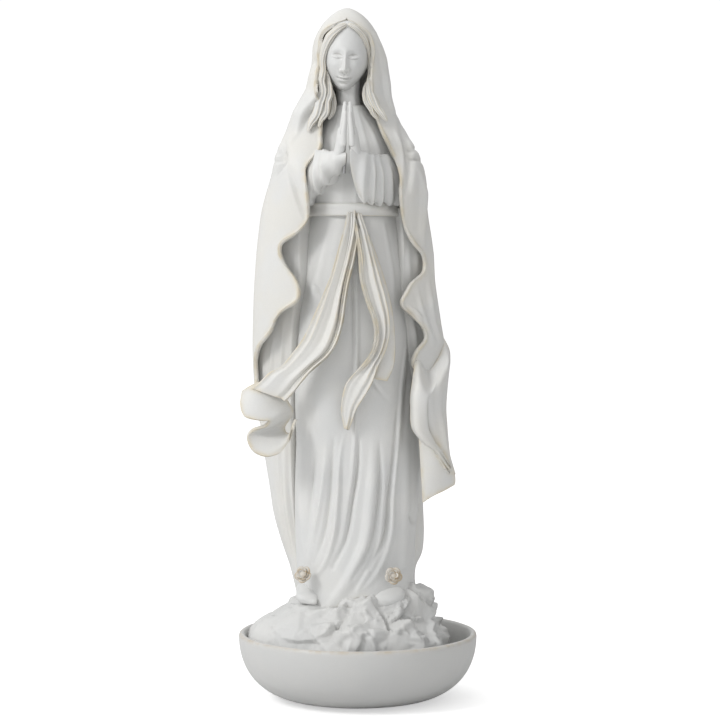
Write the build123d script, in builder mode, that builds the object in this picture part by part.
from build123d import *
import math
import os

# Madonna statue standing on a rock mound in a shallow bowl, bonded together from separate castings.
# Millimetres, +Z up, origin under the middle of the bowl. The figure faces -Y, so its right hand is at -X.

# ---- driving dimensions ------------------------------------------------------------------
statue_height = 300.0
bowl_radius = 52.0
bowl_height = 29.0
bowl_wall = 3.0
bowl_floor_z = 5.0
bowl_lift = 0.4            # the bowl hangs this far above the table, on its felt pad
foot_radius = 27.0
pad_radius = 24.0
pad_thickness = 1.2

mound_top_z = 50.0
hem_z = 44.0
waist_z = 212.0
neck_z = 256.0
chin_z = 264.5

rod_x = -2.5
rod_radius = 2.0
rod_bottom_z = 12.0
rod_top_z = 272.0

band_height = 6.0
band_thickness = 1.4
sash_front_y = -29.0
sash_back_y = -14.0
mantle_step_y = -7.0       # depth of the open front of the mantle, behind which the lining shows
fall_front_y = -15.0
fall_back_y = -4.0
fall_rounding = 2.0
cut_depth = 60.0           # long enough to cut right through the front of anything

head_centre = (-5.0, -4.0, 279.5)
head_radii = (10.0, 11.5, 15.0)
hair_centre = (-4.6, -2.4, 278.5)
hair_radii = (12.4, 11.9, 16.4)
face_window = (8.4, 15.5)  # half width and half height of the opening in the hair
neck_radii = (6.2, 5.2)
hand_plane_x = -4.2
palm_thickness = 2.9
wrist_z = 236.0
rose_radius = 3.2
dowel_radius = 0.6
dowel_length = 12.0


def ellipse_station(station):
    """Draws one level of a body: z, left edge, right edge, front edge, back edge."""
    z, left, right, front, back = station
    with BuildSketch(Plane.XY.offset(z)) as level:
        with Locations(((left + right) / 2, (front + back) / 2)):
            Ellipse((right - left) / 2, (back - front) / 2)
    return level.sketch


# Levels are z, left, right, front, back.
skirt_levels = [
    (hem_z, -26.0, 24.5, -25.0, 22.0),
    (66.0, -27.0, 24.5, -25.0, 22.0),
    (92.0, -27.5, 26.0, -25.5, 21.0),
    (118.0, -26.5, 25.5, -25.5, 20.0),
    (145.0, -26.5, 24.0, -23.5, 19.0),
    (175.0, -25.0, 21.5, -21.0, 17.0),
    (198.0, -22.5, 18.5, -18.5, 15.0),
    (waist_z, -20.5, 16.5, -17.0, 14.0),
]
bodice_levels = [
    (waist_z, -20.5, 16.5, -17.0, 14.0),
    (225.0, -21.5, 17.0, -18.0, 15.0),
    (238.0, -22.5, 17.5, -16.5, 15.5),
    (247.0, -19.0, 12.5, -13.0, 14.0),
    (neck_z, -10.5, 3.0, -8.5, 7.0),
]
mantle_levels = [
    (46.0, -26.5, 25.2, -16.0, 30.0),
    (56.0, -29.0, 25.5, -16.0, 30.0),
    (66.0, -32.0, 28.6, -16.5, 29.5),
    (80.0, -36.6, 29.0, -17.5, 29.0),
    (92.0, -38.5, 30.5, -18.5, 28.5),
    (108.0, -41.5, 36.5, -19.5, 28.0),
    (128.0, -44.8, 38.8, -20.5, 27.5),
    (147.0, -46.3, 40.4, -21.5, 27.0),
    (165.0, -46.1, 37.0, -22.5, 26.0),
    (183.0, -45.3, 34.3, -23.0, 25.0),
    (200.0, -43.9, 32.6, -23.0, 24.0),
    (213.0, -42.1, 31.2, -23.0, 23.0),
    (226.0, -38.6, 30.2, -22.0, 22.0),
    (239.0, -34.5, 25.2, -19.0, 20.0),
    (250.0, -29.8, 19.6, -15.0, 18.0),
    (258.0, -24.6, 15.2, -13.5, 16.0),
]
hood_levels = [
    (258.0, -24.6, 15.2, -13.5, 16.0),
    (270.0, -21.0, 11.9, -13.2, 15.0),
    (282.0, -19.6, 10.4, -13.2, 14.0),
    (290.5, -16.4, 7.4, -12.0, 11.5),
    (297.0, -11.4, 3.2, -8.0, 7.0),
    (statue_height, -7.0, -1.6, -2.5, 1.5),
]
# The open front of the mantle, between its two wavy hems, from the chin down and back up.
right_hem = [
    (-15.0, 286.0), (-17.2, 276.0), (-15.6, 264.0), (-17.5, 256.0), (-15.8, 238.0), (-20.0, 230.0),
    (-20.7, 213.0), (-25.4, 204.4), (-33.4, 196.0), (-26.7, 184.5), (-25.2, 177.5), (-35.2, 166.8),
    (-44.0, 150.0), (-46.5, 132.0),
]
left_hem = [
    (36.5, 132.0), (23.5, 122.0), (23.5, 147.0), (29.4, 158.5), (19.5, 174.0), (29.4, 189.0),
    (18.7, 208.4), (15.6, 227.0), (12.4, 240.5), (8.5, 252.4), (6.8, 264.0), (7.0, 276.0), (5.0, 286.0),
]

# ---- base --------------------------------------------------------------------------------
with BuildPart() as felt_pad:
    Cylinder(pad_radius, pad_thickness, align=(Align.CENTER, Align.CENTER, Align.MIN))
felt_pad.part.label = "felt_pad"

bowl_side = [
    (foot_radius, bowl_lift), (34.0, 1.6), (41.0, 5.0), (46.8, 10.5), (50.4, 17.5),
    (bowl_radius - 0.5, 23.5), (bowl_radius, bowl_height),
]
bowl_inside = [
    (bowl_radius - bowl_wall, bowl_height), (48.7, 24.0), (47.2, 18.0), (43.6, 11.8), (38.0, 7.4),
    (30.0, bowl_floor_z),
]
with BuildPart() as bowl:
    with BuildSketch(Plane.XZ) as bowl_profile:
        with BuildLine():
            Line((0, bowl_lift), bowl_side[0])
            Spline(*bowl_side)
            lip = Line(bowl_side[-1], bowl_inside[0])
            Spline(*bowl_inside)
            Line(bowl_inside[-1], (0, bowl_floor_z))
            Line((0, bowl_floor_z), (0, bowl_lift))
        make_face()
    revolve(axis=Axis.Z)
    fillet(bowl.edges().group_by(Axis.Z)[-1], bowl_wall * 0.4)
    with Locations((0, 0, bowl_lift)):
        Cylinder(
            pad_radius, pad_thickness - bowl_lift,
            align=(Align.CENTER, Align.CENTER, Align.MIN), mode=Mode.SUBTRACT,
        )
bowl.part.label = "bowl"

with BuildPart() as armature_rod:
    with Locations((rod_x, 0, rod_bottom_z)):
        Cylinder(
            rod_radius, rod_top_z - rod_bottom_z,
            align=(Align.CENTER, Align.CENTER, Align.MIN),
        )
    chamfer(armature_rod.edges().group_by(Axis.Z)[-1], 0.6)
armature_rod.part.label = "armature_rod"

# Each ring of the mound is an irregular polygon: mean radius, z and how far its corners stray.
mound_rings = [(29.0, bowl_floor_z, 1.0), (36.0, 11.0, 2.0), (40.0, 21.0, 2.0), (39.5, 30.0, 3.0),
               (34.5, 38.0, 3.0), (28.5, mound_top_z - 4.0, 2.0), (24.0, mound_top_z, 1.0)]
mound_corners = 13
with BuildPart() as rock_mound:
    for index, (mean_radius, z, stray) in enumerate(mound_rings):
        with BuildSketch(Plane.XY.offset(z)):
            with BuildLine():
                corners = []
                for corner in range(mound_corners):
                    angle = 2 * math.pi * corner / mound_corners
                    radius = mean_radius + stray * math.sin(2.4 * corner * corner + 1.7 * index)
                    corners.append((radius * math.cos(angle), radius * math.sin(angle)))
                Polyline(*corners, close=True)
            make_face()
    loft(ruled=True)
    add(armature_rod.part, mode=Mode.SUBTRACT)
rock_mound.part.label = "rock_mound"

# ---- robe --------------------------------------------------------------------------------
with BuildPart() as robe_skirt:
    for station in skirt_levels:
        add(ellipse_station(station))
    loft()
    add(rock_mound.part, mode=Mode.SUBTRACT)
    add(armature_rod.part, mode=Mode.SUBTRACT)
robe_skirt.part.label = "robe_skirt"

with BuildPart() as robe_bodice:
    for station in bodice_levels:
        add(ellipse_station(station))
    loft()
    add(armature_rod.part, mode=Mode.SUBTRACT)
robe_bodice.part.label = "robe_bodice"

waist = waist_z, *skirt_levels[-1][1:]
with BuildPart() as sash_band:
    with BuildSketch(Plane.XY.offset(waist_z - band_height / 2)):
        with Locations(((waist[1] + waist[2]) / 2, (waist[3] + waist[4]) / 2)):
            Ellipse(
                (waist[2] - waist[1]) / 2 + band_thickness,
                (waist[4] - waist[3]) / 2 + band_thickness,
            )
    extrude(amount=band_height)
    add(robe_skirt.part, mode=Mode.SUBTRACT)
    add(robe_bodice.part, mode=Mode.SUBTRACT)
    add(armature_rod.part, mode=Mode.SUBTRACT)
sash_band.part.label = "sash_band"

# ---- head --------------------------------------------------------------------------------
with BuildPart() as head_ball:
    Sphere(1)
    scale(by=head_radii)
with BuildPart() as head:
    add(head_ball.part.moved(Location(head_centre)))
    with BuildSketch(Plane.XY.offset(neck_z - 4)):
        with Locations((-4.0, -1.5)):
            Circle(neck_radii[0])
    with BuildSketch(Plane.XY.offset(chin_z + 6)):
        with Locations((-4.4, -2.0)):
            Circle(neck_radii[1])
    loft()
    add(robe_bodice.part, mode=Mode.SUBTRACT)
    add(armature_rod.part, mode=Mode.SUBTRACT)
head.part.label = "head"

with BuildPart() as hair_ball:
    Sphere(1)
    scale(by=hair_radii)
with BuildPart() as hair:
    add(hair_ball.part.moved(Location(hair_centre)))
    # two locks fall beside the neck on to the shoulders
    for side in (-1, 1):
        with BuildSketch(Plane.XY.offset(248)):
            with Locations((-4.0 + side * 12.0, -9.5)):
                Ellipse(3.4, 2.6)
        with BuildSketch(Plane.XY.offset(272)):
            with Locations((-4.0 + side * 9.4, -6.0)):
                Ellipse(2.6, 3.4)
        loft()
    # the face shows through an oval window
    with BuildSketch(Plane.XZ.offset(4)):
        with Locations((head_centre[0], head_centre[2] - 3.0)):
            Ellipse(*face_window)
    extrude(amount=cut_depth, mode=Mode.SUBTRACT)
    add(head.part, mode=Mode.SUBTRACT)
    add(robe_bodice.part, mode=Mode.SUBTRACT)
    add(armature_rod.part, mode=Mode.SUBTRACT)
hair.part.label = "hair"

# ---- hands and sleeves -------------------------------------------------------------------
# One hand is a palm with four fingers and a thumb, pressed flat against the plane between the two.
# Fingertips as y, z, from the little finger in front to the forefinger nearest the chest.
finger_tips = [(-33.6, 255.8), (-31.2, 258.8), (-28.9, 259.8), (-26.7, 258.2)]
knuckle_z = 249.0
finger_radius = 1.15
finger_spacing = 2.4
thumb_radius = 1.3
thumb_length = 8.5
palm_outline = [
    (-25.5, wrist_z - 2), (-25.0, knuckle_z), (-34.6, knuckle_z - 1), (-34.8, 243.0), (-32.6, wrist_z - 2),
]


def make_hand(side):
    """One hand: side is -1 for the figure's right hand and +1 for its left."""
    with BuildPart() as palm:
        with BuildSketch(Plane.YZ.offset(hand_plane_x)):
            with BuildLine():
                Polyline(*palm_outline, close=True)
            make_face()
        extrude(amount=side * palm_thickness)
        fillet(palm.faces().sort_by(Axis.X)[0 if side < 0 else -1].edges(), 1.0)
        finger_x = hand_plane_x + side * (finger_radius + 0.02)
        for finger, (tip_y, tip_z) in enumerate(finger_tips):
            knuckle = (finger_x, -33.4 + finger_spacing * finger, knuckle_z - 2)
            direction = Vector(finger_x, tip_y, tip_z) - Vector(knuckle)
            with BuildSketch(Plane(knuckle, z_dir=direction)):
                Circle(finger_radius)
            extrude(amount=direction.length - finger_radius)
            with Locations(Vector(knuckle) + direction.normalized() * (direction.length - finger_radius)):
                Sphere(finger_radius)
        # the thumb lies up the edge of the palm nearest the chest
        thumb_foot = Vector(hand_plane_x + side * 1.5, -25.4, 241.0)
        thumb_way = Vector(0, 0.06, 1).normalized()
        with BuildSketch(Plane(thumb_foot, z_dir=thumb_way)):
            Circle(thumb_radius)
        extrude(amount=thumb_length)
        with Locations(thumb_foot + thumb_way * thumb_length):
            Sphere(thumb_radius)
    return palm.part


with BuildPart() as hand_dowels:
    for side in (-1, 1):
        with Locations((hand_plane_x + side * 1.5, -29.0, wrist_z - 7)):
            Cylinder(dowel_radius, dowel_length, align=(Align.CENTER, Align.CENTER, Align.MIN))
hand_dowels.part.label = "hand_dowels"

with BuildPart() as hand_right:
    add(make_hand(-1))
    add(hand_dowels.part, mode=Mode.SUBTRACT)
hand_right.part.label = "hand_right"
with BuildPart() as hand_left:
    add(make_hand(1))
    add(hand_dowels.part, mode=Mode.SUBTRACT)
    add(hand_right.part, mode=Mode.SUBTRACT)
hand_left.part.label = "hand_left"


def make_sleeve(side, elbow, drop):
    """A wide sleeve: an oval cuff round the wrist, lofted back to the elbow."""
    cuff = Vector(hand_plane_x + side * 3.0, -29.0, wrist_z - 4.5)
    way = Vector(elbow) - cuff
    with BuildPart() as sleeve:
        with BuildSketch(Plane(cuff, x_dir=(0, 1, 0), z_dir=way)):
            Ellipse(5.2, 6.2)
        with BuildSketch(Plane(cuff + way * 0.5 - Vector(0, 0, drop / 2), x_dir=(0, 1, 0), z_dir=way)):
            Ellipse(6.2, 8.0)
        with BuildSketch(Plane(Vector(elbow) - Vector(0, 0, drop), x_dir=(0, 1, 0), z_dir=way)):
            Ellipse(7.0, 8.4)
        loft()
    return sleeve.part


hand_plane = Plane.YZ.offset(hand_plane_x)
with BuildPart() as sleeve_right:
    add(make_sleeve(-1, (-22.0, -15.0, 226.0), 2.0))
    split(bisect_by=hand_plane, keep=Keep.BOTTOM)
    for solid in (hand_right, hand_left, hand_dowels, robe_bodice, robe_skirt, sash_band):
        add(solid.part, mode=Mode.SUBTRACT)
sleeve_right.part.label = "sleeve_right"
with BuildPart() as sleeve_left:
    add(make_sleeve(1, (16.0, -14.0, 226.0), 3.0))
    split(bisect_by=hand_plane, keep=Keep.TOP)
    for solid in (hand_right, hand_left, hand_dowels, robe_bodice, robe_skirt, sash_band):
        add(solid.part, mode=Mode.SUBTRACT)
sleeve_left.part.label = "sleeve_left"

# ---- mantle ------------------------------------------------------------------------------
with BuildPart() as mantle:
    for station in mantle_levels:
        add(ellipse_station(station))
    loft()
    for station in hood_levels:
        add(ellipse_station(station))
    loft()
    # the front is open between the hems, down to the step where the lining shows
    with BuildSketch(Plane.XZ.offset(-mantle_step_y)):
        with BuildLine():
            Spline(*right_hem)
            Polyline(right_hem[-1], (-60, 120), (-60, 40), (60, 40), (60, 120), left_hem[0])
            Spline(*left_hem)
            Spline(left_hem[-1], (-5.0, 296.0), right_hem[0])
        make_face()
    extrude(amount=cut_depth, mode=Mode.SUBTRACT)
    for solid in (robe_skirt, robe_bodice, sash_band, head, hair, sleeve_right, sleeve_left,
                  rock_mound, armature_rod):
        add(solid.part, mode=Mode.SUBTRACT)
mantle.part.label = "mantle"

flap_outline = [
    (30.5, 146.0), (40.0, 147.0), (38.8, 128.0), (39.3, 115.5), (42.4, 99.5), (41.6, 95.2), (35.4, 92.4),
    (28.0, 88.0), (24.5, 104.0), (23.2, 124.0), (25.0, 138.0),
]
with BuildPart() as mantle_fall:
    with BuildSketch(Plane.XZ.offset(-fall_back_y)):
        with BuildLine():
            Polyline(*flap_outline, close=True)
        make_face()
    extrude(amount=fall_back_y - fall_front_y)
    fillet(mantle_fall.edges().filter_by(Axis.Y), fall_rounding)
    for solid in (mantle, robe_skirt, rock_mound):
        add(solid.part, mode=Mode.SUBTRACT)
mantle_fall.part.label = "mantle_fall"

# ---- sash --------------------------------------------------------------------------------
tail_right_upper = [(-4.6, 210.5), (-8.4, 194.5), (-17.5, 171.2), (-27.2, 153.4), (-38.0, 145.0), (-49.4, 136.4)]
tail_right_lower = [(-43.0, 109.0), (-30.5, 111.5), (-26.5, 124.0), (-20.0, 143.0), (-8.4, 159.8),
                    (-5.8, 180.0), (-1.6, 205.0)]
with BuildPart() as sash_tail_right:
    with BuildSketch(Plane.XZ.offset(-sash_back_y)):
        with BuildLine():
            Spline(*tail_right_upper)
            Polyline(tail_right_upper[-1], (-50.0, 128.0), (-47.0, 115.0), tail_right_lower[0])
            Spline(*tail_right_lower)
            Line(tail_right_lower[-1], tail_right_upper[0])
        make_face()
    extrude(amount=sash_back_y - sash_front_y)
    for solid in (robe_skirt, robe_bodice, sash_band, mantle):
        add(solid.part, mode=Mode.SUBTRACT)
sash_tail_right.part.label = "sash_tail_right"

tail_left_inner = [(-1.2, 210.5), (0.2, 190.0), (4.6, 172.5), (8.2, 160.0), (4.6, 149.6), (-4.6, 140.3),
                   (-7.1, 128.7), (-5.4, 120.5)]
tail_left_outer = [(-4.2, 120.4), (-0.8, 129.2), (6.5, 142.0), (12.4, 157.0), (12.2, 169.0), (7.3, 189.0),
                   (1.6, 210.5)]
with BuildPart() as sash_tail_left:
    with BuildSketch(Plane.XZ.offset(-sash_back_y)):
        with BuildLine():
            Spline(*tail_left_inner)
            Line(tail_left_inner[-1], tail_left_outer[0])
            Spline(*tail_left_outer)
            Line(tail_left_outer[-1], tail_left_inner[0])
        make_face()
    extrude(amount=sash_back_y - sash_front_y)
    for solid in (robe_skirt, robe_bodice, sash_band, mantle, sash_tail_right):
        add(solid.part, mode=Mode.SUBTRACT)
sash_tail_left.part.label = "sash_tail_left"

# ---- feet and roses ----------------------------------------------------------------------
def make_foot(x):
    """The front of a foot: half an egg, showing under the hem."""
    with BuildPart() as foot:
        Sphere(1)
        scale(by=(6.0, 9.0, 4.2))
    return foot.part.moved(Location((x, -21.5, mound_top_z - 1.0)))


def make_rose(x, z, front_y):
    """A rosette: a bud inside two rings of petals, facing -Y, with a stub that keys it into the robe."""
    with BuildPart() as rose:
        with Locations(Location((x, front_y, z), (90, 0, 0))):
            Torus(rose_radius - 1.0, 1.0)
            Torus(rose_radius - 2.0, 0.9)
            Cylinder(rose_radius - 1.0, 3.0)
            Sphere(1.3)
    return rose.part


with BuildPart() as foot_right:
    add(make_foot(-15.5))
    for solid in (robe_skirt, rock_mound):
        add(solid.part, mode=Mode.SUBTRACT)
foot_right.part.label = "foot_right"
with BuildPart() as foot_left:
    add(make_foot(11.5))
    for solid in (robe_skirt, rock_mound):
        add(solid.part, mode=Mode.SUBTRACT)
foot_left.part.label = "foot_left"

with BuildPart() as rose_right:
    add(make_rose(-23.0, 57.5, -14.5))
    for solid in (robe_skirt, mantle):
        add(solid.part, mode=Mode.SUBTRACT)
rose_right.part.label = "rose_right"
with BuildPart() as rose_left:
    add(make_rose(15.2, 57.5, -21.5))
    for solid in (robe_skirt, mantle):
        add(solid.part, mode=Mode.SUBTRACT)
rose_left.part.label = "rose_left"

# ---- write one STEP per piece -----------------------------------------------------------
os.makedirs("parts", exist_ok=True)
pieces = [
    felt_pad, bowl, armature_rod, rock_mound, robe_skirt, robe_bodice, sash_band, sash_tail_right,
    sash_tail_left, head, hair, hand_dowels, hand_right, hand_left, sleeve_right, sleeve_left, mantle,
    mantle_fall, foot_right, foot_left, rose_right, rose_left,
]
for piece in pieces:
    export_step(piece.part, f"parts/{piece.part.label}.step")
